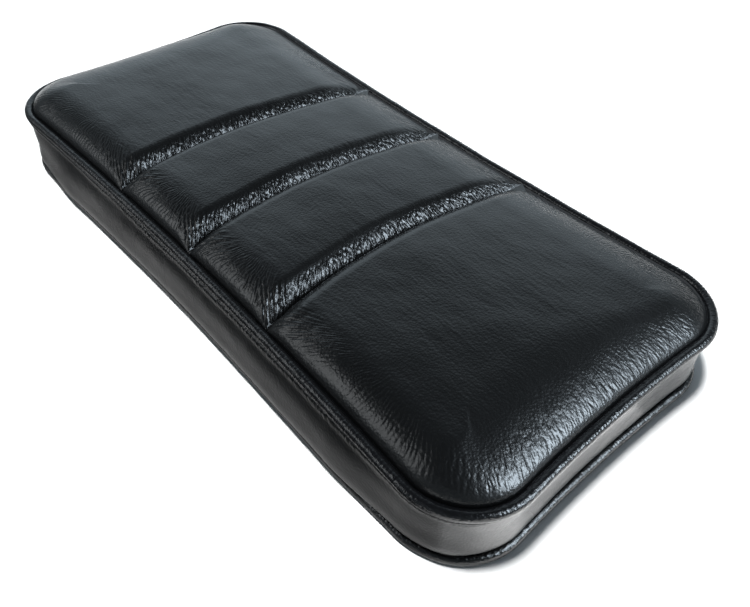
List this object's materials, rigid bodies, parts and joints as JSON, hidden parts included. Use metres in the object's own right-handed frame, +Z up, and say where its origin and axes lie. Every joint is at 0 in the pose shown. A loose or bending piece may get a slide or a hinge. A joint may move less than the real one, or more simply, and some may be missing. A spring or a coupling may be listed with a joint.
{
  "type": "armrest pad",
  "caption": "Boxed and piped black leather armrest pad with cross channels, on a plywood base board with tee nuts underneath.",
  "frame": {"origin": "centre of the underside, on the surface that the pad lies on", "axes": "+X along the pad to its front end, +Y across it, +Z up through the cushion"},
  "size_m": [0.32, 0.153, 0.04],
  "materials": {
    "black_leather": "semi-gloss smooth nappa hide, fine creased grain",
    "piping_leather": "semi-gloss thin hide wrapped round a cord",
    "plywood": "sanded birch plywood",
    "zinc_steel": "bright zinc-plated steel",
    "staple_wire": "galvanised wire",
    "underside_cloth": "black spun-bonded cloth, matt",
    "seam_thread": "black bonded polyester thread",
    "wadding": "white polyester wadding",
    "piping_cord": "twisted cotton cord",
    "foam": "open-cell polyurethane foam",
    "backing_cloth": "woven cotton backing"
  },
  "bodies": {
    "root": {"base_board": "plywood", "tee_nuts": "zinc_steel", "underside_cover": "underside_cloth", "cover_staples": "staple_wire", "flange_staples": "staple_wire", "boxing_band": "black_leather", "boxing_join_thread": "seam_thread", "side_wadding": "wadding", "bottom_piping_cover": "piping_leather", "bottom_piping_cord": "piping_cord", "bottom_seam_thread": "seam_thread", "top_piping_cover": "piping_leather", "top_piping_cord": "piping_cord", "top_seam_thread": "seam_thread", "foam_core": "foam", "backing_cloth": "backing_cloth", "rear_end_panel": "black_leather", "rear_end_filler": "foam", "rear_middle_panel": "black_leather", "rear_middle_filler": "foam", "front_middle_panel": "black_leather", "front_middle_filler": "foam", "front_end_panel": "black_leather", "front_end_filler": "foam", "rear_channel_thread": "seam_thread", "middle_channel_thread": "seam_thread", "front_channel_thread": "seam_thread"}
  },
  "joints": []
}
